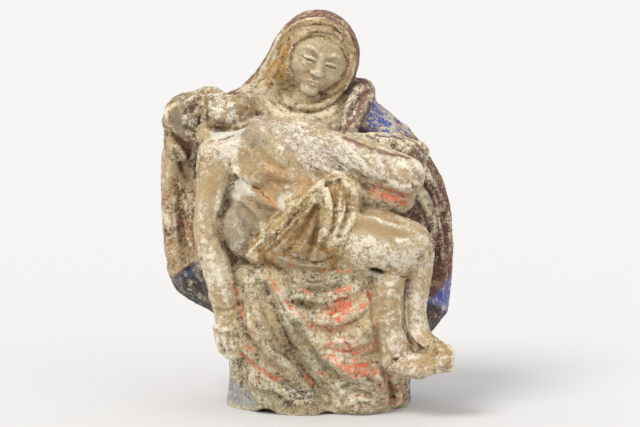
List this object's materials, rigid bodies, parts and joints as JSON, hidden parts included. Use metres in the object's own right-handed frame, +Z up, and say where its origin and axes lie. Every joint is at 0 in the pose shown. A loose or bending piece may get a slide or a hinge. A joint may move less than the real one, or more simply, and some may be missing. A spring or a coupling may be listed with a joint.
{
  "type": "pieta statue",
  "caption": "Painted clay pieta: a seated, hooded woman holds a dead man across her lap, with his head and one hand broken off and the paint much worn.",
  "frame": {"origin": "on the ground, at the middle of the group's bounding box", "axes": "+Z up, -Y out of the front of the group, +X to the viewer's right"},
  "size_m": [0.2684, 0.1552, 0.3598],
  "materials": {
    "painted_clay": "matte fired clay with worn chalk ground and flaking red, blue, ochre and dark purple paint"
  },
  "bodies": {
    "root": {"pieta": "painted_clay"}
  },
  "joints": []
}
